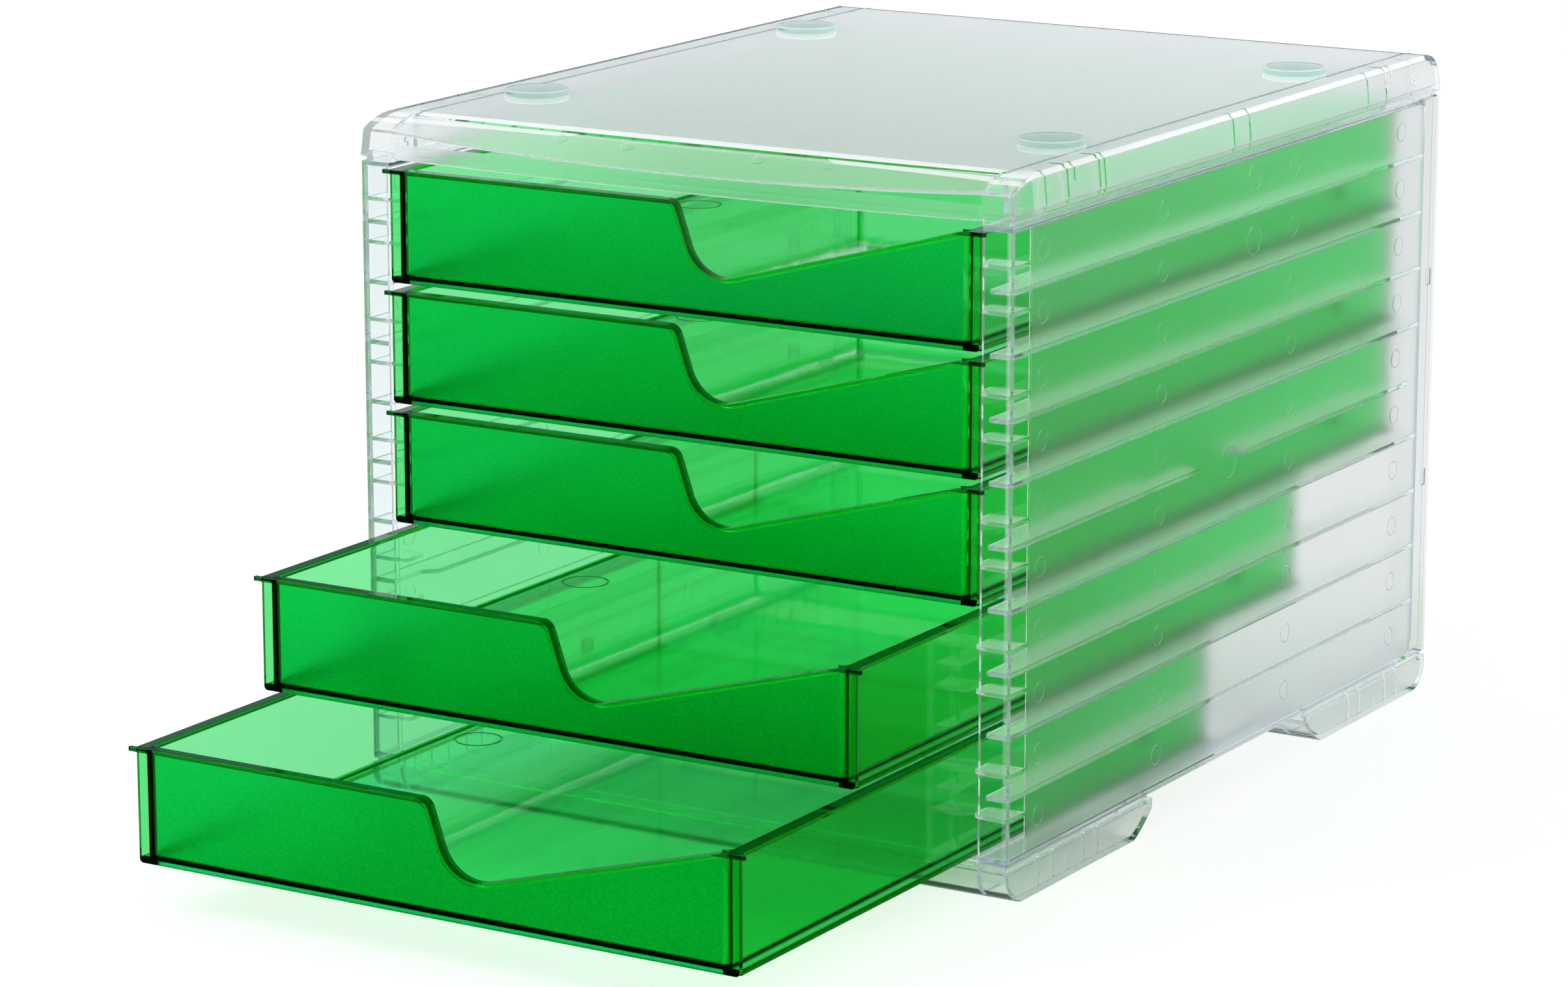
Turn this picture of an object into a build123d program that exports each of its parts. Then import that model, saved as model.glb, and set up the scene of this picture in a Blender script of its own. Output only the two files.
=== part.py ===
from build123d import *
import os
from math import asin, atan2, cos, degrees, pi, radians, sqrt, tan

# Drawer box with a clear housing and green drawers.
# Lengths are in millimetres. X points to the right as seen from the front, Z points up.
# While a piece is modelled, y is measured backwards from the housing's front plane.
# The finished pieces are moved so that the origin is the middle of the footprint on the desk.

# Housing as a whole
HOUSING_WIDTH = 268.0
HOUSING_DEPTH = 342.0
SEAM_HEIGHT = 1.7
SEAM_INSET = 1.5
FIT_GAP = 0.2

# Drawers: how many, and how they are stacked
DRAWER_COUNT = 5
DRAWER_SPACE = 3.1
RUN_GAP = 0.3
DRAWER_TRAVEL = 260.0
DRAWER_4_PULLED = 81.4
DRAWER_5_PULLED = 154.2

# Drawer moulding
DRAWER_HEIGHT = 41.2
REAR_CLEARANCE = 1.9
FRONT_PROUD = 0.4
FRONT_THICKNESS = 2.0
FRONT_SIDE_GAP = 0.9
FRONT_CORNER = 1.5
DRAWER_WALL = 1.3
WALL_SET_IN = 3.4
FLOOR_RAISE = 1.2
FLOOR_THICKNESS = 1.4
RUNNER_HEIGHT = 2.1
RUNNER_INNER_WIDTH = 3.6
RIM_THICKNESS = 1.5
REAR_RIM_DEPTH = 1.5
INNER_CORNER = 3.0
FLOOR_CORNER = 1.2
EDGE_ROUND = 0.6

# Lip along the top edge of a drawer front, and the lugs at its ends
LIP_HEIGHT = 1.5
LIP_PROUD = 1.3
LIP_INWARD = 1.0
LUG_REACH = 1.6
LUG_GAP = 0.2

# Swing cut in a drawer front
FLANK_X = -0.2
FLANK_ANGLE = 70.9
RAMP_END_INSET = 4.9
RAMP_ANGLE = 15.3
CREST_RADIUS = 5.0
TROUGH_RADIUS = 15.0
SHOULDER_RADIUS = 18.0

# Stop lugs at the rear of a drawer
STOP_BOTTOM = 11.5
STOP_HEIGHT = 4.5
STOP_LENGTH = 4.0
STOP_GAP = 0.2

# Recessed ring on a drawer's floor
FLOOR_MARK_RADIUS = 9.0
FLOOR_MARK_WIDTH = 0.6
FLOOR_MARK_DEPTH = 0.3
FLOOR_MARK_INSET = 13.6
FLOOR_MARK_Y = 180.0

# Side panels
PANEL_WALL = 1.8
PANEL_FLANGE = 12.1
FLOOR_FLANGE = 2.0
HEAD_ROOM = 0.3
REAR_STRIP = 11.0
REAR_WALL = 1.5
TRAY_CORNER = 6.0
PANEL_EDGE_ROUND = 0.7

# Shelves of the side panels
SHELF_THICKNESS = 1.6
SHELF_GRIP = 1.7
SHELF_RELIEF = 4.9
SHELF_FRONT_START = 18.5
SHELF_FRONT_FULL = 22.8
SHELF_REAR_TAPER = 46.0
SHELF_REAR_NARROW = 38.0
BROKEN_SHELF = 5
BREAK_STEP = 113.0
BREAK_FRONT = 142.7
BREAK_REAR = 179.4
BROKEN_SHELF_SHORT = 21.0

# Stop plates behind the front flange of a side panel
PLATE_THICKNESS = 1.3
PLATE_UPPER = 29.4
PLATE_LOWER = 13.6
PLATE_TIP_GAP = 1.1
PLATE_FRONT = 0.6
PLATE_REAR = 13.5
PLATE_TIP_RADIUS = 2.0
PLATE_ROOT = 1.0
PLATE_RIDGE = 1.2
PLATE_RIDGE_DEPTH = 0.5

# Round marks on the inner face of a side panel
MARK_RADIUS = 3.7
MARK_WIDTH = 0.35
MARK_DEPTH = 0.25
MARK_FRONT_COLUMNS = (22.5, 111.5)
MARK_REAR_COLUMNS = (126.0, 33.0)
WHEEL_RADIUS = 5.4
WHEEL_Y = 183.0
WHEEL_DROPS = (9.5, 32.8)
DISC_RADIUS = 6.3
DISC_Y = 166.0
DISC_DROP = 112.0

# Base frame
BASE_HEIGHT = 14.4
BASE_WALL = 1.8
BASE_PLATE = 2.0
FOOT_LENGTH = 107.4
FOOT_TOE_RADIUS = 10.5
HEEL_RUN = 13.5
HEEL_SAG = 1.1
HEEL_FACE = 3.4
INNER_WALL = 1.5
INNER_WALL_INSET = 12.5

# Top cover
COVER_RISE = 14.6
COVER_PLATE = 2.2
COVER_WALL = 2.0
COVER_DRAFT = 1.3
COVER_SIDE_ROUND = 1.6
COVER_INSIDE_ROUND = 0.3
COVER_REAR_ROUND = 10.0
RING_WALL = 1.8
CAP_WIDTH = 13.0
CAP_ROUND = 38.0
CAP_ROUND_START = 9.9
CAP_SET_BACK = 0.7
ARRIS_SIDE = 9.7
ARRIS_SAG = 4.7
SLOPE_LENGTH = 18.0
SLOPE_WALL = 2.0
FASCIA_DROP = 0.2
FASCIA_SAG = 1.2
FASCIA_GAP = 2.0
HEAD_RIB_Y = 17.0
HEAD_RIB = 1.4
HEAD_RIB_DEPTH = 1.8
DOT_RADIUS = 2.4
DOT_DEPTH = 0.25
DOT_XS = (27.0, 54.8)
DOT_Y = 11.0
CAP_DOT_INSET = 7.0
CAP_DOT_Y = 7.5

# Ridges and gussets behind the skirts of the top cover and the feet, measured from the front or the rear
RIDGE = 1.0
RIDGE_DEPTH = 2.4
RIDGE_ROOT = 1.6
SHORT_RIDGE = 5.0
GUSSET = 1.2
GUSSET_STEP = 1.9
GUSSET_FLARE = 5.4
GUSSET_FLARE_DEPTH = 5.5
COVER_FRONT_RIDGES = (25.0, 68.0, 167.0, 180.0)
COVER_REAR_RIDGES = (62.0, 20.0)
COVER_FRONT_GUSSETS = (41.0, 64.0)
COVER_REAR_GUSSETS = (46.0, 23.0)
COVER_FRONT_SHORT = 46.0
COVER_REAR_SHORT = 41.0
FOOT_RIDGES = (24.5, 68.0)
FOOT_GUSSETS = (35.0, 58.0)
FOOT_SHORT = 46.0

# Stacking pads on the top cover
PAD_RADIUS = 12.0
PAD_HEIGHT = 2.2
PAD_ROUND = 0.8
PAD_INSET = 26.5
PAD_FRONT_Y = 74.4
PAD_FROM_REAR = 75.3

# Back panel
BACK_WALL = 1.8
BACK_EDGE_ROUND = 0.6
SNAP_HEIGHTS = (85.8, 166.0)
SNAP_LENGTH = 6.0
SNAP_DEPTH = 3.0
SNAP_REACH = 0.6
SNAP_FROM_REAR = 3.0

# Sizes that follow
PULLED_OUT = {4: DRAWER_4_PULLED, 5: DRAWER_5_PULLED}
HALF_WIDTH = HOUSING_WIDTH / 2
FLANGE_INNER = HALF_WIDTH - PANEL_FLANGE
WALL_INNER = HALF_WIDTH - PANEL_WALL
FRONT_HALF = FLANGE_INNER - FRONT_SIDE_GAP
BODY_HALF = FRONT_HALF - WALL_SET_IN
DRAWER_PITCH = DRAWER_HEIGHT + DRAWER_SPACE
SHELF_EDGE = FRONT_HALF - SHELF_GRIP
PLATE_TIP = BODY_HALF + PLATE_TIP_GAP
FRONT_BACK = FRONT_THICKNESS - FRONT_PROUD
PLATE_START = FRONT_BACK + PLATE_FRONT
TRAY_DEPTH = HOUSING_DEPTH - REAR_STRIP
DRAWER_LENGTH = TRAY_DEPTH - REAR_WALL - REAR_CLEARANCE + FRONT_PROUD
RAMP_END_X = FRONT_HALF - RAMP_END_INSET
FIRST_SHELF = BASE_HEIGHT + FLOOR_FLANGE
LOWEST_DRAWER = FIRST_SHELF + RUN_GAP
PANEL_TOP = LOWEST_DRAWER + (DRAWER_COUNT - 1) * DRAWER_PITCH + DRAWER_HEIGHT + HEAD_ROOM + PANEL_WALL
STOP_START = PLATE_REAR + DRAWER_TRAVEL + STOP_GAP
COVER_LIP = PANEL_TOP + SEAM_HEIGHT
COVER_TOP = COVER_LIP + COVER_RISE
COVER_UNDER = COVER_TOP - COVER_PLATE
SKIRT_TOP = BASE_HEIGHT - SEAM_HEIGHT
INNER_WALL_X = HALF_WIDTH - INNER_WALL_INSET
SLOPE_HALF = HALF_WIDTH - CAP_WIDTH


def drawer_bottom(number):
    """Height of a drawer's underside. Drawer 1 is the top one."""
    return LOWEST_DRAWER + (DRAWER_COUNT - number) * DRAWER_PITCH


def block(x0, x1, y0, y1, z0, z1):
    """Box between two opposite corners."""
    return Pos((x0 + x1) / 2, (y0 + y1) / 2, (z0 + z1) / 2) * Box(x1 - x0, y1 - y0, z1 - z0)


def mirrored(piece):
    """The same shape on the other side of the housing."""
    return mirror(piece, about=Plane.YZ)


def both_sides(piece):
    """A shape and its mirror image."""
    return [piece, mirrored(piece)]


def upright(outline, y0, y1):
    """Solid with an outline in the XZ plane, from y0 back to y1."""
    return Pos(0, y0, 0) * extrude(Plane.XZ * outline, amount=y0 - y1)


def sideways(outline, x0, x1):
    """Solid with an outline in the YZ plane, from x0 to x1."""
    return Pos(x0, 0, 0) * extrude(Plane.YZ * outline, amount=x1 - x0)


def ring(radius, width, depth):
    """Flat ring, standing on the XY plane."""
    return extrude(Circle(radius) - Circle(radius - width), amount=depth)


# Drawer

def swing_edge(drop):
    """Top edge of a drawer front, moved inwards everywhere by drop."""
    fall = radians(FLANK_ANGLE)
    rise = radians(RAMP_ANGLE)
    level = DRAWER_HEIGHT - drop
    start = FLANK_X - drop * tan(fall / 2)
    end = RAMP_END_X + drop * tan(rise / 2)
    low = (start * tan(fall) + end * tan(rise)) / (tan(fall) + tan(rise))
    low_level = level - (low - start) * tan(fall)
    points = [(-FRONT_HALF, level), (start, level), (low, low_level), (end, level), (FRONT_HALF, level)]
    radii = [CREST_RADIUS - drop, TROUGH_RADIUS + drop, SHOULDER_RADIUS - drop]
    return FilletPolyline(*points, radius=radii)


def under_swing_edge(drop):
    """Face below the swing edge, down to the underside of the drawer."""
    edge = swing_edge(drop)
    sides = FilletPolyline(edge @ 0, (-FRONT_HALF, 0), (FRONT_HALF, 0), edge @ 1, radius=FRONT_CORNER)
    return make_face(edge.edges() + sides.edges())


def drawer_front():
    """Front plate with the lip along its top edge and the lugs that meet the side panels."""
    plate = upright(under_swing_edge(0), -FRONT_PROUD, FRONT_BACK)
    lip_outline = under_swing_edge(0) - under_swing_edge(LIP_HEIGHT)
    lip = upright(lip_outline, -FRONT_PROUD - LIP_PROUD, FRONT_BACK + LIP_INWARD)
    lug = block(FRONT_HALF - EDGE_ROUND, FLANGE_INNER + LUG_REACH, -FRONT_PROUD - LIP_PROUD, -LUG_GAP,
                DRAWER_HEIGHT - LIP_HEIGHT, DRAWER_HEIGHT)
    return [plate, lip] + both_sides(lug)


def drawer_tray():
    """Floor, side walls and rear wall, with the rounded corners of the inside."""
    rear = DRAWER_LENGTH - FRONT_PROUD - REAR_RIM_DEPTH
    outside = block(-BODY_HALF, BODY_HALF, FRONT_BACK, rear, 0, DRAWER_HEIGHT)
    inner_half = BODY_HALF - DRAWER_WALL
    inside = block(-inner_half, inner_half, FRONT_BACK, rear - DRAWER_WALL,
                   FLOOR_RAISE + FLOOR_THICKNESS, DRAWER_HEIGHT + DRAWER_WALL)
    inside = fillet(inside.edges().filter_by(Axis.Z), INNER_CORNER)
    inside = fillet(inside.faces().sort_by(Axis.Z)[0].edges(), FLOOR_CORNER)
    hollow_half = FRONT_HALF - RUNNER_INNER_WIDTH - WALL_SET_IN
    below = block(-hollow_half, hollow_half, FRONT_BACK, rear - DRAWER_WALL, 0, FLOOR_RAISE)
    return outside - inside - below


def drawer_edges():
    """Runners along the bottom, and the rim round the top."""
    rear = DRAWER_LENGTH - FRONT_PROUD
    wall_rear = rear - REAR_RIM_DEPTH
    root = BODY_HALF - DRAWER_WALL / 2
    rim_low = DRAWER_HEIGHT - RIM_THICKNESS
    runner = block(root, FRONT_HALF, FRONT_BACK, wall_rear, 0, RUNNER_HEIGHT)
    runner = fillet(runner.edges().filter_by(Axis.Y).group_by(Axis.X)[-1], EDGE_ROUND)
    rim = block(root, FRONT_HALF, FRONT_BACK, rear, rim_low, DRAWER_HEIGHT)
    rear_rim = block(-root, root, wall_rear - DRAWER_WALL / 2, rear, rim_low, DRAWER_HEIGHT)
    return both_sides(runner) + both_sides(rim) + [rear_rim]


def stop_lug():
    """Lug on the right side wall that meets a stop plate when the drawer is fully out."""
    return block(BODY_HALF - DRAWER_WALL / 2, FRONT_HALF, STOP_START, STOP_START + STOP_LENGTH,
                 STOP_BOTTOM, STOP_BOTTOM + STOP_HEIGHT)


def drawer():
    """One drawer, with its underside at height 0, pushed home."""
    pieces = drawer_front() + [drawer_tray()] + drawer_edges() + both_sides(stop_lug())
    body = pieces[0]
    for piece in pieces[1:]:
        body = body + piece
    floor_top = FLOOR_RAISE + FLOOR_THICKNESS
    mark = Pos(FLOOR_MARK_INSET - BODY_HALF, FLOOR_MARK_Y, floor_top - FLOOR_MARK_DEPTH)
    mark = mark * ring(FLOOR_MARK_RADIUS, FLOOR_MARK_WIDTH, 2 * FLOOR_MARK_DEPTH)
    return body - mark


# Side panel, modelled for the right side

def shelf(top, y_end):
    """Running shelf, narrower at its front and rear ends."""
    relief = SHELF_EDGE + SHELF_RELIEF
    taper = HOUSING_DEPTH - SHELF_REAR_TAPER
    narrow = HOUSING_DEPTH - SHELF_REAR_NARROW
    root = WALL_INNER + PANEL_WALL / 2
    outline = Polyline((root, PANEL_WALL / 2), (relief, PANEL_WALL / 2), (relief, SHELF_FRONT_START),
                       (SHELF_EDGE, SHELF_FRONT_FULL), (SHELF_EDGE, taper), (relief, narrow),
                       (relief, y_end), (root, y_end), close=True)
    return Pos(0, 0, top - SHELF_THICKNESS) * extrude(make_face(outline), amount=SHELF_THICKNESS)


def shelf_top(number):
    """Height of a shelf's upper face. Shelves are counted from the top, two to a drawer."""
    return FIRST_SHELF + (2 * DRAWER_COUNT - number) * DRAWER_PITCH / 2


def broken(whole, top):
    """The broken shelf: set back before a gap, and short of the rear wall."""
    low = top - SHELF_THICKNESS
    step = block(0, SHELF_EDGE + SHELF_RELIEF, BREAK_STEP, BREAK_REAR, low, top)
    gap = block(0, WALL_INNER, BREAK_FRONT, BREAK_REAR, low, top)
    tail = block(0, WALL_INNER, HOUSING_DEPTH - BROKEN_SHELF_SHORT, TRAY_DEPTH - REAR_WALL, low, top)
    return whole - step - gap - tail


def shelves():
    """All shelves of one side panel."""
    made = []
    for number in range(1, 2 * DRAWER_COUNT):
        top = shelf_top(number)
        whole = shelf(top, TRAY_DEPTH - REAR_WALL / 2)
        if number == BROKEN_SHELF:
            whole = broken(whole, top)
        made.append(whole)
    return made


def stop_plate(middle):
    """Short plate behind the front flange, with a rounded tip beside the drawer's wall."""
    root = WALL_INNER + PANEL_WALL / 2
    outline = make_face(Polyline((root, PLATE_START), (PLATE_TIP, PLATE_START), (PLATE_TIP, PLATE_REAR),
                                 (root, PLATE_REAR), close=True))
    outline = fillet(outline.vertices().group_by(Axis.X)[0], PLATE_TIP_RADIUS)
    plate = Pos(0, 0, middle - PLATE_THICKNESS / 2) * extrude(outline, amount=PLATE_THICKNESS)
    bridge = block(FLANGE_INNER + PLATE_ROOT, WALL_INNER, PANEL_WALL / 2, PLATE_START + PLATE_ROOT,
                   middle - PLATE_THICKNESS / 2, middle + PLATE_THICKNESS / 2)
    return plate + bridge


def stop_plates():
    """Two plates beside each drawer."""
    made = []
    for number in range(1, DRAWER_COUNT + 1):
        for rise in (PLATE_UPPER, PLATE_LOWER):
            made.append(stop_plate(drawer_bottom(number) + rise))
    return made


def panel_marks():
    """Shallow rings on the inner face of the outer wall, between the shelves."""
    turn = Rot(0, 90, 0)
    half_pitch = DRAWER_PITCH / 2
    columns = list(MARK_FRONT_COLUMNS) + [HOUSING_DEPTH - y for y in MARK_REAR_COLUMNS]
    rings = []
    for cell in range(2 * DRAWER_COUNT):
        height = FIRST_SHELF + (cell + 0.5) * half_pitch
        rings += [(y, height, MARK_RADIUS) for y in columns]
    rings += [(WHEEL_Y, PANEL_TOP - drop, WHEEL_RADIUS) for drop in WHEEL_DROPS]
    rings.append((DISC_Y, PANEL_TOP - DISC_DROP, DISC_RADIUS))
    made = []
    for y, height, radius in rings:
        place = Pos(WALL_INNER - MARK_DEPTH, y, height) * turn
        made.append(place * ring(radius, MARK_WIDTH, 2 * MARK_DEPTH))
    return made


def snaps(play):
    """Snap pips of the back panel's right side, larger by play for the recesses they click into."""
    middle = HOUSING_DEPTH - SNAP_FROM_REAR - SNAP_DEPTH / 2
    depth = SNAP_DEPTH / 2 + play
    length = SNAP_LENGTH / 2 + play
    face = WALL_INNER - FIT_GAP
    made = []
    for height in SNAP_HEIGHTS:
        made.append(block(face - BACK_WALL / 2, face + SNAP_REACH + play, middle - depth, middle + depth,
                          height - length, height + length))
    return made


def side_panel():
    """Right side panel: outer wall, flanges all round, shelves and stop plates."""
    wall = block(WALL_INNER, HALF_WIDTH, 0, HOUSING_DEPTH, BASE_HEIGHT, PANEL_TOP)
    wall = fillet(wall.faces().sort_by(Axis.X)[-1].edges(), PANEL_EDGE_ROUND)
    height = PANEL_TOP - BASE_HEIGHT
    middle = BASE_HEIGHT + height / 2
    outside = Pos(TRAY_DEPTH / 2, middle) * Rectangle(TRAY_DEPTH, height)
    outside = fillet(outside.vertices().group_by(Axis.X)[-1], TRAY_CORNER)
    hollow_depth = TRAY_DEPTH - PANEL_WALL - REAR_WALL
    hollow_height = height - PANEL_WALL - FLOOR_FLANGE
    hollow_middle = BASE_HEIGHT + FLOOR_FLANGE + hollow_height / 2
    hollow = Pos(PANEL_WALL + hollow_depth / 2, hollow_middle) * Rectangle(hollow_depth, hollow_height)
    hollow = fillet(hollow.vertices().group_by(Axis.X)[-1], TRAY_CORNER - PANEL_WALL)
    panel = wall + sideways(outside - hollow, FLANGE_INNER, WALL_INNER + PANEL_WALL / 2)
    strip = block(WALL_INNER - PLATE_RIDGE_DEPTH, WALL_INNER + PANEL_WALL / 2,
                  PLATE_REAR, PLATE_REAR + PLATE_RIDGE,
                  BASE_HEIGHT + FLOOR_FLANGE / 2, PANEL_TOP - PANEL_WALL / 2)
    for piece in shelves() + stop_plates() + [strip]:
        panel = panel + piece
    return panel - panel_marks() - snaps(FIT_GAP)


# Ridges and gussets

def ridge(face, y, low, high):
    """Thin upright ridge on the inside of a right skirt."""
    return block(face - RIDGE_DEPTH, face + RIDGE_ROOT, y - RIDGE / 2, y + RIDGE / 2, low, high)


def gusset(face, y, closed, mouth):
    """Upright plate across the channel behind a right skirt, wider where the channel is closed."""
    root = face + RIDGE_ROOT
    edge = face - GUSSET_STEP
    flare = edge - GUSSET_FLARE
    if mouth > closed:
        neck = closed + GUSSET_FLARE_DEPTH
    else:
        neck = closed - GUSSET_FLARE_DEPTH
    outline = Polyline((root, closed), (flare, closed), (edge, neck), (edge, mouth), (root, mouth), close=True)
    return upright(make_face(outline), y - GUSSET / 2, y + GUSSET / 2)


# Base frame

def foot_outline(inset):
    """Side view of the front foot, drawn in by a wall when inset is above 0."""
    toe = FOOT_TOE_RADIUS
    heel = FOOT_LENGTH - inset
    heel_low = SKIRT_TOP - HEEL_FACE
    slope = atan2(heel_low, HEEL_RUN)
    sole_end = FOOT_LENGTH - HEEL_RUN - inset * tan(slope / 2)
    heel_low = heel_low + inset * tan(pi / 4 - slope / 2)
    middle = ((sole_end + heel) / 2 + HEEL_SAG / 2, (inset + heel_low) / 2 - HEEL_SAG / 2)
    diagonal = toe - (toe - inset) * cos(pi / 4)
    front = Line((inset, BASE_HEIGHT), (inset, toe))
    bend = ThreePointArc((inset, toe), (diagonal, diagonal), (toe, inset))
    sole = Line((toe, inset), (sole_end, inset))
    rise = ThreePointArc((sole_end, inset), middle, (heel, heel_low))
    back = Polyline((heel, heel_low), (heel, BASE_HEIGHT), (inset, BASE_HEIGHT))
    return make_face(front.edges() + bend.edges() + sole.edges() + rise.edges() + back.edges())


def foot_braces():
    """Inner wall, ridges and gussets at the right end of the front foot."""
    face = HALF_WIDTH - BASE_WALL
    inner = upright(Pos(INNER_WALL_X, BASE_HEIGHT / 2) * Rectangle(INNER_WALL, BASE_HEIGHT), 0, FOOT_LENGTH)
    inner = inner & sideways(foot_outline(0), 0, HALF_WIDTH)
    pieces = [inner]
    for y in FOOT_RIDGES:
        pieces.append(ridge(face, y, BASE_WALL / 2, SKIRT_TOP))
    for y in FOOT_GUSSETS:
        pieces.append(gusset(face, y, BASE_WALL / 2, SKIRT_TOP))
    pieces.append(ridge(face, FOOT_SHORT, BASE_WALL / 2, BASE_WALL + SHORT_RIDGE))
    return pieces


def front_foot():
    """Trough with a closed sole across the whole width, and the ring that carries the side panels."""
    trough = sideways(foot_outline(0), -HALF_WIDTH, HALF_WIDTH)
    trough = trough - sideways(foot_outline(BASE_WALL), BASE_WALL - HALF_WIDTH, HALF_WIDTH - BASE_WALL)
    trough = trough - block(-HALF_WIDTH, HALF_WIDTH, 0, FOOT_LENGTH, SKIRT_TOP, BASE_HEIGHT)
    outer = HALF_WIDTH - SEAM_INSET
    low = SKIRT_TOP - SEAM_HEIGHT
    heel = FOOT_LENGTH - SEAM_INSET
    collar = block(-outer, outer, SEAM_INSET, heel, low, BASE_HEIGHT)
    collar = collar - block(RING_WALL - outer, outer - RING_WALL, SEAM_INSET + RING_WALL, heel - RING_WALL,
                            low, BASE_HEIGHT)
    foot = trough + collar
    for brace in foot_braces():
        for piece in both_sides(brace):
            foot = foot + piece
    return foot


def base_frame():
    """Front and rear foot, joined by a plate between the side panels."""
    foot = front_foot()
    rear = Pos(0, HOUSING_DEPTH, 0) * mirror(foot, about=Plane.XZ)
    half = INNER_WALL_X + INNER_WALL / 2
    start = FOOT_LENGTH - SEAM_INSET - RING_WALL / 2
    plate = block(-half, half, start, HOUSING_DEPTH - start, BASE_HEIGHT - BASE_PLATE, BASE_HEIGHT)
    return foot + plate + rear


# Top cover

def cover_section(inset, top, bend):
    """Front view of the cover's outside, drawn in by a wall."""
    low = HALF_WIDTH - inset
    high = HALF_WIDTH - COVER_DRAFT - inset
    outline = make_face(Polyline((-low, COVER_LIP), (low, COVER_LIP), (high, top), (-high, top), close=True))
    return fillet(outline.vertices().group_by(Axis.Y)[-1], bend)


def cap_round():
    """Middle of the caps' round front in the side view."""
    drop = CAP_ROUND - (COVER_RISE - CAP_ROUND_START)
    return CAP_SET_BACK + sqrt(CAP_ROUND**2 - drop**2), COVER_TOP - CAP_ROUND


def cover_profile(inset, top):
    """Side view of the cover's outside, with the caps' rounded front and the rounded rear edge."""
    middle_y, middle_z = cap_round()
    radius = CAP_ROUND - (COVER_TOP - top)
    start_y = CAP_SET_BACK + inset
    start_z = middle_z + sqrt(radius**2 - (middle_y - start_y)**2)
    rear = HOUSING_DEPTH - inset
    rear_radius = COVER_REAR_ROUND - inset
    nose = Line((inset, COVER_LIP), (start_y, start_z))
    cap = RadiusArc((start_y, start_z), (middle_y, top), radius)
    roof = Line((middle_y, top), (rear - rear_radius, top))
    bend = RadiusArc((rear - rear_radius, top), (rear, top - rear_radius), rear_radius)
    close = Polyline((rear, top - rear_radius), (rear, COVER_LIP), (inset, COVER_LIP))
    return make_face(nose.edges() + cap.edges() + roof.edges() + bend.edges() + close.edges())


def slope_wedge(back, down):
    """What is cut away above the sloped front between the caps, moved back and down for the inside."""
    high = COVER_TOP + COVER_RISE
    side = COVER_LIP + ARRIS_SIDE
    arch = ThreePointArc((-SLOPE_HALF, side), (0, side - ARRIS_SAG), (SLOPE_HALF, side))
    frame = Polyline((SLOPE_HALF, side), (SLOPE_HALF, high), (-SLOPE_HALF, high), (-SLOPE_HALF, side))
    near = Plane.XZ * make_face(arch.edges() + frame.edges())
    far = Plane.XZ * (Pos(0, (COVER_TOP + high) / 2) * Rectangle(2 * SLOPE_HALF, high - COVER_TOP))
    return Pos(0, back, -down) * loft([near, Pos(0, SLOPE_LENGTH, 0) * far], ruled=True)


def dimple(x, y, z, tilt):
    """Shallow round dimple in the cover's outside, tilted with the surface."""
    return Pos(x, y, z) * Rot(tilt, 0, 0) * Cylinder(DOT_RADIUS, 2 * DOT_DEPTH)


def dimples():
    """Small dimples on the slope and on the caps."""
    made = []
    for x in DOT_XS:
        rise = ARRIS_SIDE - ARRIS_SAG * (1 - (x / SLOPE_HALF)**2)
        climb = COVER_RISE - rise
        tilt = degrees(atan2(climb, SLOPE_LENGTH))
        made += both_sides(dimple(x, DOT_Y, COVER_LIP + rise + climb * DOT_Y / SLOPE_LENGTH, tilt))
    middle_y, middle_z = cap_round()
    lean = asin((middle_y - CAP_DOT_Y) / CAP_ROUND)
    z = middle_z + CAP_ROUND * cos(lean)
    made += both_sides(dimple(HALF_WIDTH - CAP_DOT_INSET, CAP_DOT_Y, z, degrees(lean)))
    return made


def fascia_apron():
    """Front wall between the caps, whose lower edge is a flat arch."""
    reach = SLOPE_HALF - FASCIA_GAP
    low = PANEL_TOP + FASCIA_DROP
    side = low + FASCIA_SAG
    arch = ThreePointArc((-reach, side), (0, low), (reach, side))
    high = COVER_LIP + SEAM_HEIGHT
    frame = Polyline((reach, side), (reach, high), (-reach, high), (-reach, side))
    return upright(make_face(arch.edges() + frame.edges()), 0, COVER_WALL)


def register_ring():
    """Ring that stands on the side panels' top, set in from the cover's outside, open at the front."""
    outer = HALF_WIDTH - SEAM_INSET
    back = HOUSING_DEPTH - SEAM_INSET
    top = COVER_LIP + RING_WALL
    outside = block(-outer, outer, SEAM_INSET, back, PANEL_TOP, top)
    inside = block(RING_WALL - outer, outer - RING_WALL, SEAM_INSET + RING_WALL, back - RING_WALL,
                   PANEL_TOP, top)
    doorway = block(-SLOPE_HALF, SLOPE_HALF, 0, 2 * COVER_WALL, PANEL_TOP, top)
    return outside - inside - doorway


def cover_braces():
    """Right inner wall, ridges and gussets behind the right skirt."""
    face = HALF_WIDTH - COVER_WALL - COVER_DRAFT
    into_plate = COVER_UNDER + COVER_PLATE / 2
    half = INNER_WALL / 2
    pieces = [block(INNER_WALL_X - half, INNER_WALL_X + half, HEAD_RIB_Y, HOUSING_DEPTH - COVER_WALL / 2,
                    COVER_LIP, into_plate)]
    rear = HOUSING_DEPTH
    for y in list(COVER_FRONT_RIDGES) + [rear - y for y in COVER_REAR_RIDGES]:
        pieces.append(ridge(face, y, COVER_LIP, into_plate))
    for y in list(COVER_FRONT_GUSSETS) + [rear - y for y in COVER_REAR_GUSSETS]:
        pieces.append(gusset(face, y, into_plate, COVER_LIP))
    for y in (COVER_FRONT_SHORT, rear - COVER_REAR_SHORT):
        pieces.append(ridge(face, y, COVER_UNDER - SHORT_RIDGE, into_plate))
    return pieces


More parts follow.
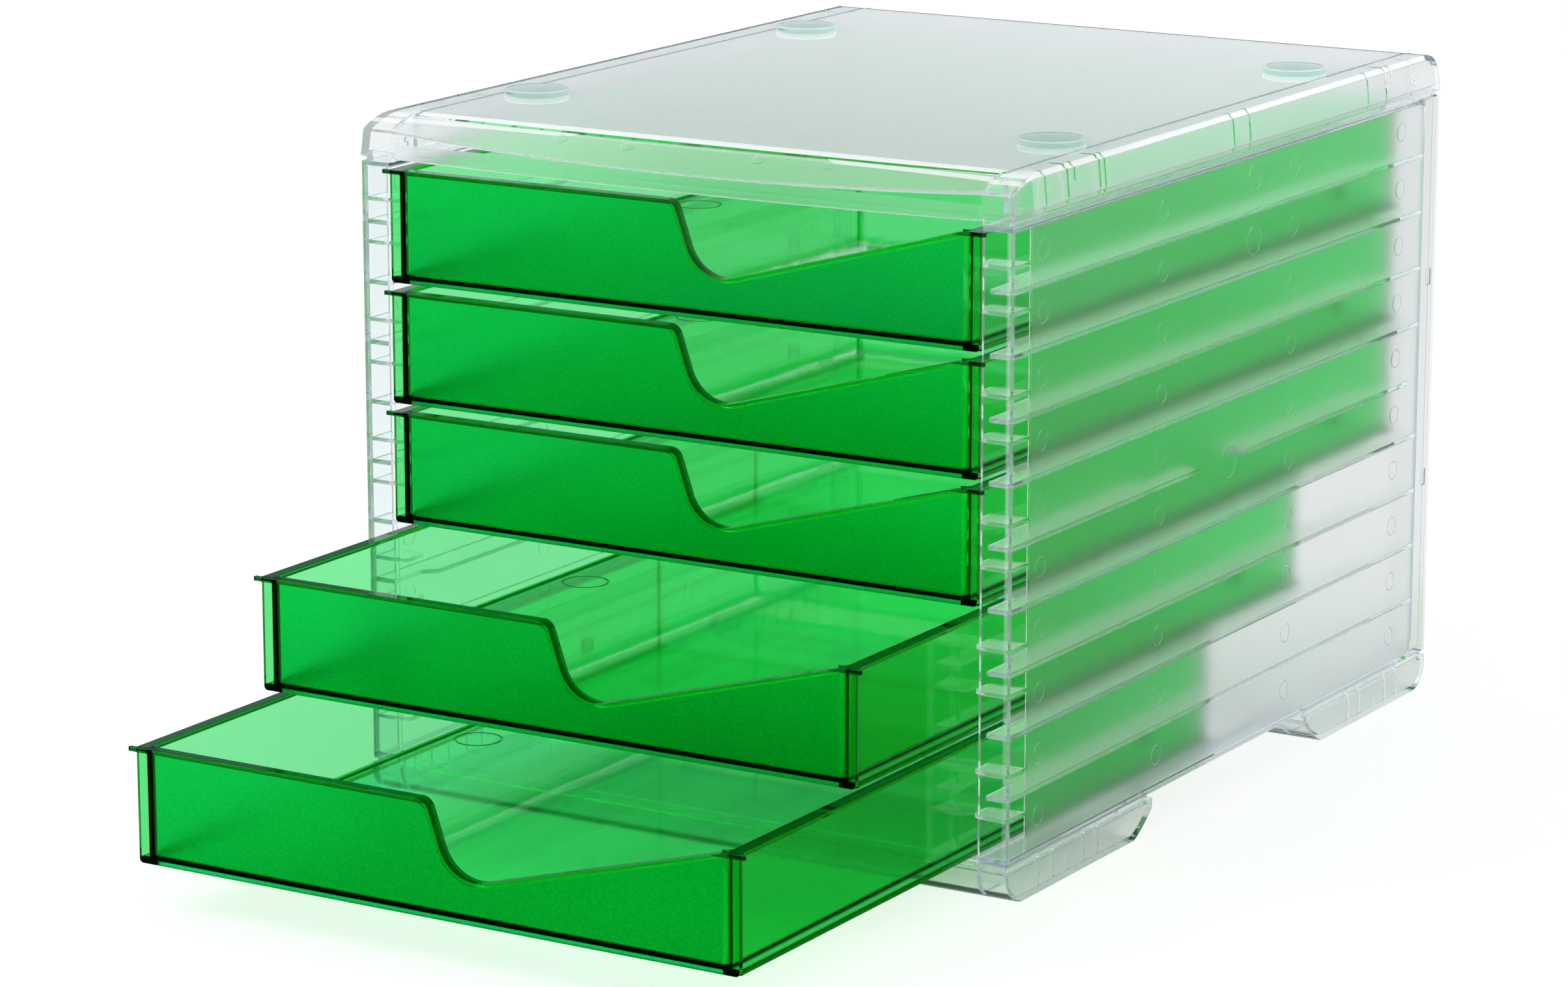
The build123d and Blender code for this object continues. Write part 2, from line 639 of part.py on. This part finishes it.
def stacking_pads():
    """Four round pads that carry a second box."""
    pad = Pos(0, 0, -COVER_PLATE / 2) * Cylinder(PAD_RADIUS, PAD_HEIGHT + COVER_PLATE / 2,
                                                 align=(Align.CENTER, Align.CENTER, Align.MIN))
    pad = fillet(pad.edges().group_by(Axis.Z)[-1], PAD_ROUND)
    made = []
    for x in (PAD_INSET - HALF_WIDTH, HALF_WIDTH - PAD_INSET):
        for y in (PAD_FRONT_Y, HOUSING_DEPTH - PAD_FROM_REAR):
            made.append(Pos(x, y, COVER_TOP) * pad)
    return made


def top_cover():
    """Plate, side aprons, sloped front, caps, braces and stacking pads in one moulding."""
    outside = upright(cover_section(0, COVER_TOP, COVER_SIDE_ROUND), 0, HOUSING_DEPTH)
    outside = outside & sideways(cover_profile(0, COVER_TOP), -HALF_WIDTH, HALF_WIDTH)
    outside = outside - slope_wedge(0, 0)
    inside = upright(cover_section(COVER_WALL, COVER_UNDER, COVER_INSIDE_ROUND), 0, HOUSING_DEPTH)
    inside = inside & sideways(cover_profile(COVER_WALL, COVER_UNDER), -HALF_WIDTH, HALF_WIDTH)
    inside = inside - slope_wedge(0, SLOPE_WALL)
    cover = outside - inside
    cover = cover + fascia_apron() + register_ring()
    cover = cover + block(-INNER_WALL_X, INNER_WALL_X, HEAD_RIB_Y - HEAD_RIB / 2, HEAD_RIB_Y + HEAD_RIB / 2,
                          COVER_UNDER - HEAD_RIB_DEPTH, COVER_UNDER + COVER_PLATE / 2)
    for brace in cover_braces():
        for piece in both_sides(brace):
            cover = cover + piece
    for pad in stacking_pads():
        cover = cover + pad
    for dot in dimples():
        cover = cover - dot
    return cover


# Back panel

def back_panel():
    """Flat tray between the side panels' rear strips, open towards the front."""
    half = WALL_INNER - FIT_GAP
    outside = block(-half, half, TRAY_DEPTH, HOUSING_DEPTH, BASE_HEIGHT, PANEL_TOP)
    outside = fillet(outside.faces().sort_by(Axis.Y)[-1].edges(), BACK_EDGE_ROUND)
    inside = block(BACK_WALL - half, half - BACK_WALL, TRAY_DEPTH, HOUSING_DEPTH - BACK_WALL,
                   BASE_HEIGHT + BACK_WALL, PANEL_TOP - BACK_WALL)
    panel = outside - inside
    for snap in snaps(0):
        for piece in both_sides(snap):
            panel = panel + piece
    return panel


def write(name, piece):
    """Moves a finished piece into the shared frame and writes its file."""
    export_step(Pos(0, -HOUSING_DEPTH / 2, 0) * piece, f"parts/{name}.step")


os.makedirs("parts", exist_ok=True)
right = side_panel()
write("side_panel_right", right)
write("side_panel_left", mirrored(right))
write("base_frame", base_frame())
write("top_cover", top_cover())
write("back_panel", back_panel())
moulding = drawer()
for number in range(1, DRAWER_COUNT + 1):
    pulled = PULLED_OUT.get(number, 0)
    write(f"drawer_{number}", Pos(0, -pulled, drawer_bottom(number)) * moulding)
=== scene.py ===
from math import pi

import bpy
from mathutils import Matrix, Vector

# Looks of the drawer box: clear and translucent green plastic on a plain pale floor.
# Everything is in metres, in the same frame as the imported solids.

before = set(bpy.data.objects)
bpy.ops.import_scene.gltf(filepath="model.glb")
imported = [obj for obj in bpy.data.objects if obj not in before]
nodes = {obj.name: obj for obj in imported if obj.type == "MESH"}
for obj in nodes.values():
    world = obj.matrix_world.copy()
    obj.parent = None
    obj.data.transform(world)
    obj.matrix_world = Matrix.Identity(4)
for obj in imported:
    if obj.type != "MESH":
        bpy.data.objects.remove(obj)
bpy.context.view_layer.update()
DRAWERS = [f"drawer_{number}" for number in range(1, 6)]
HOUSING = ["base_frame", "side_panel_left", "side_panel_right", "back_panel", "top_cover"]
WHITE = (1, 1, 1, 1)

# Both plastics
LAST_BEND = 14.0    # rays that have met more faces than this go straight on
EDGE_RADIUS = 0.0006
EDGE_SAMPLES = 4
FACING = 0.9        # a face looks along an axis when its normal has more than this share of it
GLOSSY = 0.04
GRAIN_HEIGHT = 0.00003
GRAIN_LOW, GRAIN_HIGH = 0.36, 0.64

# Green plastic: light takes on its colour with the thickness that it passes.
GREEN_ABSORBS, GREEN_DENSITY = (0.26, 0.93, 0.5, 1), 1250.0
GREEN_LAMP_TINT, GREEN_CAUGHT = (0.35, 0.83, 0.42, 1), (0, 0.12, 0.04, 1)
GREEN_GLOSS_TINT = (0.05, 0.55, 0.3, 1)
GREEN_BEND = 1.47
# Painted shade on the drawers' edges, in place of the dark lines that refraction gives them.
GREEN_EDGE_PAINTED_SHADE = (0.01, 0.16, 0.06, 1)
# Painted shadow on the drawers' floors, in place of the green shade that light through a drawer leaves on
# the desk below.
GREEN_FLOOR_PAINTED_SHADOW = (0.4, 0.97, 0.8, 1)
FRONT_DARK, FRONT_LIGHT = (0.005, 0.52, 0.64, 1), (0.03, 0.98, 1.0, 1)
FRONT_ROUGH = 0.4
FRONT_CLEAR_MOST, FRONT_CLEAR_LEAST = 0.92, 0.78
GREEN_GRAIN, GREEN_GRAIN_DETAIL = 1500.0, 1.0
PATCHES, PATCHES_DETAIL = 18.0, 2.0
FLOW, FLOW_DETAIL, FLOW_STRETCH = 26.0, 3.0, (1.0, 0.35, 1.0)
FLOW_HEIGHT = 0.00012
# The last two numbers set painted shade that makes the front's frost darker towards its bottom.
SHADE_BY_SPECK, SHADE_BY_PATCH, PAINTED_SHADE_BY_HEIGHT, PAINTED_SHADE_FROM = 0.5, 0.4, 0.7, 0.3

# Places on a drawer, as shares of its box from 0 to 1
FRONT_INSIDE, FRONT_INSIDE_REACH = 0.01, 0.0003
FRONT_MIDDLE, FRONT_HALF = 0.5, 0.476
LIP_LOW, LIP_DEPTH = 0.963, 0.0125
SWING_TILT, SWING_DEPTH = 0.15, 0.0115
RIM_TILT, RIM_LOW = 0.5, 0.9
FLOOR_HIGH = 0.09

# Clear plastic: nearly colourless, with a slight blue in thick places.
CLEAR_ABSORBS, CLEAR_DENSITY = (0.2, 0.5, 0.6, 1), 10.0
CLEAR_LAMP_TINT, CLEAR_CAUGHT = (0.985, 0.99, 0.99, 1), (0.96, 0.98, 1.0, 1)
CLEAR_GLOSS_TINT = (0.35, 0.35, 0.35, 1)
CLEAR_BEND = 1.22
CLEAR_GRAIN, CLEAR_GRAIN_DETAIL = 1600.0, 1.0
FLANGE_TINT = (0.88, 0.93, 0.94, 1)
# Painted shade on the sides of the cover's pads
PAD_SIDE_PAINTED_SHADE = (0.35, 0.55, 0.46, 1)
FROST_DARK = (0.95, 0.955, 0.953, 1)
FROST_ROUGH, CAP_ROUGH = 0.55, 0.22
FROSTED = ("wall", "roof", "skirt", "back", "fascia", "slope", "cap", "foot_side", "foot_end", "sole")

# Share of the light that a face scatters back. The roof is the milkiest, most of all at the rear.
FROST_MILK = 0.015
MILK = {"back": 0.05, "cap": 0.05, "foot_side": 0.05, "foot_end": 0.05, "sole": 0.05,
        "ring": 0.2, "shelf": 0.2, "skirt": 0.22, "slope": 0.08}
ROOF_MILK_FRONT, ROOF_MILK_REAR = 0.53, 0.8
ROOF_FRONT_Y, ROOF_REAR_Y = -0.13, 0.15

# Places on the housing: x from the middle, y from front to back, z from the desk
SNUG = 0.0004
FRONT_Y, BASE_TOP, COVER_LOW, COVER_LIP = -0.171, 0.0144, 0.2373, 0.2389
ROOF_UNDER, ROOF_REACH = 0.2513, 0.0005
PANEL_MIDDLE, PANEL_HALF = 0.1258, 0.11
WALL_X, WALL_MIDDLE_Y, WALL_HALF_Y = 0.1319, 0.00125, 0.15775
SKIRT_X, SKIRT_REACH, SKIRT_FRONT_Y = 0.1313, 0.0009, -0.155
BACK_Y, FASCIA_Y, FASCIA_X = 0.169, -0.169, 0.1205
CAP_X, CAP_BACK_Y = 0.1204, -0.148
FOOT_X, FOOT_Y, FOOT_TOP, SOLE_Z = 0.1322, 0.1692, 0.0127, 0.0018
SHELF_X, SHELF_REACH, SHELVES_HALF = 0.125, 0.0065, 0.105
RING_REACH = 0.0006
PAD_LOW, PAD_TILT = 0.2536, 0.5
FLANGE_REACH = 0.002

# The cover's sloped front: its outer face arches between the caps and climbs from the lip to the roof.
SLOPE_HALF_SPAN, SLOPE_MARGIN = 0.121, 0.0002
SLOPE_LOW_RISE, SLOPE_ARCH, SLOPE_FULL_RISE, SLOPE_DEPTH = 0.0097, 0.0047, 0.0146, 0.018
SLOPE_BACK_Y, SLOPE_WALL, SLOPE_TILT = -0.152, 0.001, 0.2

# Floor: how much light it gives off and how light its matte grey is, for each kind of ray that looks at it
FLOOR_HALF = 6.0
GLOW_CAMERA, GLOW_BEHIND, GLOW_DEEP = 0.75, 0.42, 0.55
MATTE = 0.8
MATTE_LESS_CAMERA, MATTE_LESS_BEHIND, MATTE_LESS_MIRRORED = 0.5, 0.22, 0.7

# Studio that the gloss mirrors
STUDIO_TOP, STUDIO_DIM, STUDIO_BRIGHT = (-0.3, 0.1, 0.95), 0.42, 0.9
STUDIO_LOW, STUDIO_LOW_DEEP = (0.08, 0.11, 0.15, 1), (0.86, 0.91, 0.96, 1)
AROUND, AROUND_STRENGTH = (0.98, 0.99, 1.0, 1), 0.8
MIRRORED_ONCE, MIRRORED_TWICE, MANY_FACES = 0.5, 1.5, 5.5
LAMP_AIM, LAMP_SIZE = (0, 0, 0.1), 0.9

BOUNCES, STRAIGHT_BOUNCES = 28, 40


class Graph:
    """Short way to write a material's or the world's nodes."""

    def __init__(self, tree):
        self.tree = tree
        tree.nodes.clear()

    def node(self, kind, values=(), **settings):
        made = self.tree.nodes.new("ShaderNode" + kind)
        for name, value in settings.items():
            setattr(made, name, value)
        for name, value in dict(values).items():
            self.feed(made.inputs[name], value)
        return made

    def feed(self, socket, value):
        if isinstance(value, bpy.types.NodeSocket):
            self.tree.links.new(value, socket)
        else:
            socket.default_value = value

    def math(self, operation, a, b=0.0, clamp=False):
        return self.node("Math", {0: a, 1: b}, operation=operation, use_clamp=clamp).outputs[0]

    def plus(self, a, b, clamp=False):
        return self.math("ADD", a, b, clamp)

    def minus(self, a, b):
        return self.math("SUBTRACT", a, b)

    def times(self, a, b):
        return self.math("MULTIPLY", a, b)

    def size(self, value):
        return self.math("ABSOLUTE", value)

    def above(self, value, edge):
        """Mask of the places where a number is greater than an edge."""
        return self.math("GREATER_THAN", value, edge)

    def near(self, value, aim, reach):
        """Mask of the places where a number lies within reach of an aim."""
        return self.node("Math", {0: value, 1: aim, 2: reach}, operation="COMPARE").outputs[0]

    def both(self, *masks):
        made = masks[0]
        for mask in masks[1:]:
            made = self.times(made, mask)
        return made

    def either(self, *masks):
        made = masks[0]
        for mask in masks[1:]:
            made = self.math("MAXIMUM", made, mask)
        return made

    def blend(self, mask, low, high):
        """Number that goes from low to high with a mask."""
        return self.node("MapRange", {"Value": mask, "To Min": low, "To Max": high}).outputs[0]

    def contrast(self, value, low, high):
        """Number stretched so that low becomes 0 and high 1."""
        return self.node("MapRange", {"Value": value, "From Min": low, "From Max": high}).outputs[0]

    def colours(self, mask, low, high):
        """Colour that goes from low to high with a mask."""
        made = self.node("Mix", data_type="RGBA")
        for socket, value in ((made.inputs[0], mask), (made.inputs[6], low), (made.inputs[7], high)):
            self.feed(socket, value)
        return made.outputs[2]

    def noise(self, where, scale, detail, stretch=None):
        """Noise from 0 to 1, about 0.5 in the middle."""
        if stretch:
            where = self.node("Mapping", {0: where, 3: stretch}).outputs[0]
        return self.node("TexNoise", {"Vector": where, "Scale": scale, "Detail": detail}).outputs[0]

    def parts(self, vector):
        return self.node("SeparateXYZ", {0: vector}).outputs


def material(name):
    made = bpy.data.materials.new(name)
    made.use_nodes = True
    return made, Graph(made.node_tree)


def wear(piece, made):
    piece.data.materials.clear()
    piece.data.materials.append(made)


def relief(graph, height):
    """Normal of a rounded edge with a fine relief over it."""
    rounded = graph.node("Bevel", {"Radius": EDGE_RADIUS}, samples=EDGE_SAMPLES).outputs[0]
    values = {"Strength": 1.0, "Distance": 1.0, "Height": height, "Normal": rounded}
    return graph.node("Bump", values).outputs[0]


def plastic(graph, values, lamp_tint, caught, absorbs, density):
    """Plastic that bends light, soaks it up with its thickness and lets lamps through tinted."""
    body = graph.node("BsdfPrincipled", values)
    path = graph.node("LightPath")
    lamp_ray = path.outputs["Is Shadow Ray"]
    through = graph.node("BsdfTransparent", {"Color": graph.colours(lamp_ray, caught, lamp_tint)})
    straight = graph.either(lamp_ray, graph.above(path.outputs["Ray Depth"], LAST_BEND))
    mix = graph.node("MixShader", {0: straight, 1: body.outputs[0], 2: through.outputs[0]})
    soak = graph.node("VolumeAbsorption", {"Color": absorbs, "Density": density})
    graph.node("OutputMaterial", {"Surface": mix.outputs[0], "Volume": soak.outputs[0]})


def green_masks(graph, across, along, up, normal):
    """Masks of a drawer's frosted inner front face, of the narrow edges of its plates, which get painted
    shade, and of its floor, which gets a painted shadow.
    """
    nx, ny, nz = normal
    front = graph.both(graph.above(graph.size(ny), FACING),
                       graph.near(along, FRONT_INSIDE, FRONT_INSIDE_REACH),
                       graph.near(across, FRONT_MIDDLE, FRONT_HALF))
    # The lip, the swing cut and the rims get painted shade.
    lip = graph.both(graph.above(up, LIP_LOW), graph.above(LIP_DEPTH, along))
    swing = graph.both(graph.above(nz, SWING_TILT), graph.above(SWING_DEPTH, along))
    rim = graph.both(graph.above(nz, RIM_TILT), graph.above(up, RIM_LOW))
    painted_floor_shadow = graph.both(graph.above(graph.size(nz), FACING), graph.above(FLOOR_HIGH, up))
    return front, graph.either(lip, swing, rim), painted_floor_shadow


def green_plastic():
    made, graph = material("green_plastic")
    place = graph.node("TexCoord")
    across, along, up = graph.parts(place.outputs["Generated"])
    where = place.outputs["Object"]
    normal = graph.parts(place.outputs["Normal"])
    front, edge, painted_floor_shadow = green_masks(graph, across, along, up, normal)
    grain = graph.noise(where, GREEN_GRAIN, GREEN_GRAIN_DETAIL)
    patches = graph.noise(where, PATCHES, PATCHES_DETAIL)
    flow = graph.noise(where, FLOW, FLOW_DETAIL, FLOW_STRETCH)
    height = graph.plus(graph.times(graph.both(grain, front), GRAIN_HEIGHT), graph.times(flow, FLOW_HEIGHT))
    speck = graph.contrast(grain, GRAIN_LOW, GRAIN_HIGH)
    # The front's frost is lighter in its specks and patches, and towards its top; its darker lower part is
    # painted shade.
    shade = graph.plus(graph.times(speck, SHADE_BY_SPECK), graph.times(patches, SHADE_BY_PATCH))
    height_painted_shade = graph.times(graph.minus(up, PAINTED_SHADE_FROM), PAINTED_SHADE_BY_HEIGHT)
    shade = graph.plus(shade, height_painted_shade, clamp=True)
    tint = graph.colours(front, WHITE, graph.colours(shade, FRONT_DARK, FRONT_LIGHT))
    # The drawer's floor gets a painted shadow, in place of the green shade that light through it leaves on
    # the desk below.
    tint = graph.colours(painted_floor_shadow, tint, GREEN_FLOOR_PAINTED_SHADOW)
    frost_clear = graph.blend(speck, FRONT_CLEAR_MOST, FRONT_CLEAR_LEAST)
    values = {
        # Edges look into the length of a plate; on top of that they get painted shade, a dark green in
        # place of the dark lines that refraction gives them.
        "Base Color": graph.colours(edge, tint, GREEN_EDGE_PAINTED_SHADE),
        "Transmission Weight": graph.blend(front, 1.0, frost_clear),
        "Roughness": graph.blend(front, GLOSSY, FRONT_ROUGH),
        "Specular Tint": GREEN_GLOSS_TINT,
        "IOR": GREEN_BEND,
        "Normal": relief(graph, height),
    }
    plastic(graph, values, GREEN_LAMP_TINT, GREEN_CAUGHT, GREEN_ABSORBS, GREEN_DENSITY)
    return made


def slope_mask(graph, wide, y, z, ay, az):
    """Mask of the inner face of the cover's sloped front."""
    bow = graph.minus(1.0, graph.math("POWER", graph.math("DIVIDE", wide, SLOPE_HALF_SPAN), 2.0))
    rise = graph.minus(SLOPE_LOW_RISE, graph.times(bow, SLOPE_ARCH))
    climb = graph.math("DIVIDE", graph.minus(y, FRONT_Y), SLOPE_DEPTH)
    outer = graph.plus(graph.plus(rise, COVER_LIP), graph.times(graph.minus(SLOPE_FULL_RISE, rise), climb))
    return graph.both(graph.above(ay, SLOPE_TILT), graph.above(az, SLOPE_TILT),
                      graph.above(SLOPE_HALF_SPAN + SLOPE_MARGIN, wide), graph.above(SLOPE_BACK_Y, y),
                      graph.above(graph.minus(outer, SLOPE_WALL), z), graph.above(z, COVER_LIP))


def clear_masks(graph, x, y, z, normal):
    """Masks of the housing's frosted faces, which are its inner ones, and of a few small places, among them
    the pads' sides, which get painted shade.
    """
    nx, ny, nz = normal
    ax, ay, az = graph.size(nx), graph.size(ny), graph.size(nz)
    wide = graph.size(x)
    sideways, endways, level = graph.above(ax, FACING), graph.above(ay, FACING), graph.above(az, FACING)
    slanted = graph.both(graph.above(FACING, ax), graph.above(FACING, az))
    panel = graph.near(z, PANEL_MIDDLE, PANEL_HALF)
    foot = graph.above(FOOT_TOP, z)
    above_lip = graph.above(z, COVER_LIP)
    cover = graph.above(z, COVER_LOW)
    return {
        "wall": graph.both(sideways, graph.near(wide, WALL_X, SNUG),
                           graph.near(y, WALL_MIDDLE_Y, WALL_HALF_Y), panel),
        "roof": graph.both(level, graph.near(z, ROOF_UNDER, ROOF_REACH)),
        "skirt": graph.both(sideways, graph.near(wide, SKIRT_X, SKIRT_REACH), above_lip,
                            graph.above(y, SKIRT_FRONT_Y)),
        "back": graph.both(endways, graph.near(y, BACK_Y, SNUG), above_lip),
        "fascia": graph.both(endways, graph.near(y, FASCIA_Y, SNUG), cover, graph.above(FASCIA_X, wide)),
        "slope": slope_mask(graph, wide, y, z, ay, az),
        "foot_side": graph.both(sideways, graph.near(wide, FOOT_X, SNUG), foot),
        "foot_end": graph.both(endways, graph.near(graph.size(y), FOOT_Y, SNUG), foot),
        "sole": graph.both(level, graph.near(z, SOLE_Z, SNUG)),
        "cap": graph.both(graph.above(wide, CAP_X), graph.above(CAP_BACK_Y, y), cover),
        "shelf": graph.both(level, graph.near(wide, SHELF_X, SHELF_REACH),
                            graph.near(z, PANEL_MIDDLE, SHELVES_HALF)),
        "ring": graph.both(slanted, graph.near(wide, WALL_X, RING_REACH), panel),
        "pad_side_painted_shade": graph.both(graph.above(z, PAD_LOW), graph.above(PAD_TILT, nz)),
        "flange": graph.both(endways, graph.near(y, FRONT_Y, FLANGE_REACH), graph.above(COVER_LOW, z),
                             graph.above(z, BASE_TOP)),
    }


def clear_plastic():
    made, graph = material("clear_plastic")
    place = graph.node("TexCoord")
    where = place.outputs["Object"]
    x, y, z = graph.parts(where)
    mask = clear_masks(graph, x, y, z, graph.parts(place.outputs["Normal"]))
    frost = graph.either(*(mask[name] for name in FROSTED))
    rearward = graph.contrast(y, ROOF_FRONT_Y, ROOF_REAR_Y)
    roof_milk = graph.times(mask["roof"], graph.blend(rearward, ROOF_MILK_FRONT, ROOF_MILK_REAR))
    milk = graph.either(roof_milk, graph.times(frost, FROST_MILK),
                        *(graph.times(mask[name], share) for name, share in MILK.items()))
    grain = graph.noise(where, CLEAR_GRAIN, CLEAR_GRAIN_DETAIL)
    speck = graph.contrast(grain, GRAIN_LOW, GRAIN_HIGH)
    tint = graph.colours(frost, WHITE, graph.colours(speck, FROST_DARK, WHITE))
    tint = graph.colours(mask["flange"], tint, FLANGE_TINT)
    values = {
        # The pads' sides get painted shade.
        "Base Color": graph.colours(mask["pad_side_painted_shade"], tint, PAD_SIDE_PAINTED_SHADE),
        "Transmission Weight": graph.minus(1.0, milk),
        "Roughness": graph.blend(frost, GLOSSY, graph.blend(mask["cap"], FROST_ROUGH, CAP_ROUGH)),
        "Specular Tint": CLEAR_GLOSS_TINT,
        "IOR": CLEAR_BEND,
        "Normal": relief(graph, graph.times(graph.both(grain, frost), GRAIN_HEIGHT)),
    }
    plastic(graph, values, CLEAR_LAMP_TINT, CLEAR_CAUGHT, CLEAR_ABSORBS, CLEAR_DENSITY)
    return made


green = green_plastic()
clear = clear_plastic()
for name in DRAWERS:
    wear(nodes[name], green)
for name in HOUSING:
    wear(nodes[name], clear)


def mirrored_rays(graph, path):
    """Masks of rays that come from a mirroring face, and of those mirrored again and again in an edge."""
    mirrors, faces = path.outputs["Glossy Depth"], path.outputs["Ray Depth"]
    mirrored = graph.above(mirrors, MIRRORED_ONCE)
    often = graph.either(graph.above(mirrors, MIRRORED_TWICE), graph.above(faces, MANY_FACES))
    return mirrored, graph.both(mirrored, often)


# Floor: the camera sees white with a light shadow. Gloss and plastic show more of the shade on it.
mesh = bpy.data.meshes.new("floor")
mesh.from_pydata([(-FLOOR_HALF, -FLOOR_HALF, 0), (FLOOR_HALF, -FLOOR_HALF, 0),
                  (FLOOR_HALF, FLOOR_HALF, 0), (-FLOOR_HALF, FLOOR_HALF, 0)], [], [(0, 1, 2, 3)])
floor = bpy.data.objects.new("floor", mesh)
bpy.context.scene.collection.objects.link(floor)
pale, graph = material("floor")
path = graph.node("LightPath")
mirrored, deep = mirrored_rays(graph, path)
camera_ray = path.outputs["Is Camera Ray"]
behind_plastic = graph.both(path.outputs["Is Transmission Ray"], graph.minus(1.0, mirrored))
glow = graph.plus(graph.times(camera_ray, GLOW_CAMERA), graph.times(behind_plastic, GLOW_BEHIND))
glow = graph.plus(glow, graph.times(deep, GLOW_DEEP))
matte = graph.minus(MATTE, graph.times(camera_ray, MATTE_LESS_CAMERA))
matte = graph.minus(matte, graph.times(behind_plastic, MATTE_LESS_BEHIND))
matte = graph.minus(matte, graph.times(mirrored, MATTE_LESS_MIRRORED))
grey = graph.node("CombineColor", {0: matte, 1: matte, 2: matte}).outputs[0]
seen = graph.node("BsdfDiffuse", {"Color": grey})
light = graph.node("Emission", {"Color": WHITE, "Strength": glow})
mix = graph.node("AddShader", {0: seen.outputs[0], 1: light.outputs[0]})
graph.node("OutputMaterial", {"Surface": mix.outputs[0]})
wear(floor, pale)

# World: white behind everything. The gloss mirrors a studio that is dim at the sides and bright above.
world = bpy.data.worlds.new("studio")
world.use_nodes = True
bpy.context.scene.world = world
graph = Graph(world.node_tree)
path = graph.node("LightPath")
mirrored, deep = mirrored_rays(graph, path)
straight = graph.either(path.outputs["Is Camera Ray"], path.outputs["Is Glossy Ray"],
                        path.outputs["Is Transmission Ray"])
direction = graph.node("TexCoord").outputs["Generated"]
upwards = graph.node("VectorMath", {0: direction, 1: STUDIO_TOP}, operation="DOT_PRODUCT").outputs["Value"]
lit = graph.node("MapRange", {"Value": upwards, "From Min": STUDIO_DIM, "From Max": STUDIO_BRIGHT},
                 interpolation_type="SMOOTHSTEP").outputs[0]
studio = graph.colours(lit, graph.colours(deep, STUDIO_LOW, STUDIO_LOW_DEEP), WHITE)
around = graph.node("Background", {"Color": AROUND, "Strength": AROUND_STRENGTH})
behind = graph.node("Background", {"Color": graph.colours(mirrored, WHITE, studio), "Strength": 1.0})
mix = graph.node("MixShader", {0: straight, 1: around.outputs[0], 2: behind.outputs[0]})
graph.node("OutputWorld", {"Surface": mix.outputs[0]})


def lamp(name, place, power):
    """Soft square lamp that points at the box."""
    light = bpy.data.lights.new(name, "AREA")
    light.shape = "SQUARE"
    light.size = LAMP_SIZE
    light.energy = power
    made = bpy.data.objects.new(name, light)
    made.location = place
    made.rotation_euler = (Vector(LAMP_AIM) - Vector(place)).to_track_quat("-Z", "Y").to_euler()
    bpy.context.scene.collection.objects.link(made)


lamp("key", (-1.5, -1.2, 1.8), 22.0)
lamp("fill", (1.7, 0.4, 1.5), 10.0)

# Camera, fitted to the box's straight edges in the photograph
camera = bpy.data.objects.new("camera", bpy.data.cameras.new("camera"))
camera.data.sensor_width = 36.0
camera.data.lens = 121.33
camera.data.clip_end = 100.0
camera.location = (0.96964, -1.69728, 0.55344)
camera.rotation_euler = (pi / 2 - 0.22987, 0.0, 0.5452)
bpy.context.scene.collection.objects.link(camera)
scene = bpy.context.scene
scene.camera = camera
scene.view_settings.view_transform = "Standard"
scene.cycles.max_bounces = BOUNCES
scene.cycles.transmission_bounces = BOUNCES
scene.cycles.glossy_bounces = BOUNCES
scene.cycles.transparent_max_bounces = STRAIGHT_BOUNCES
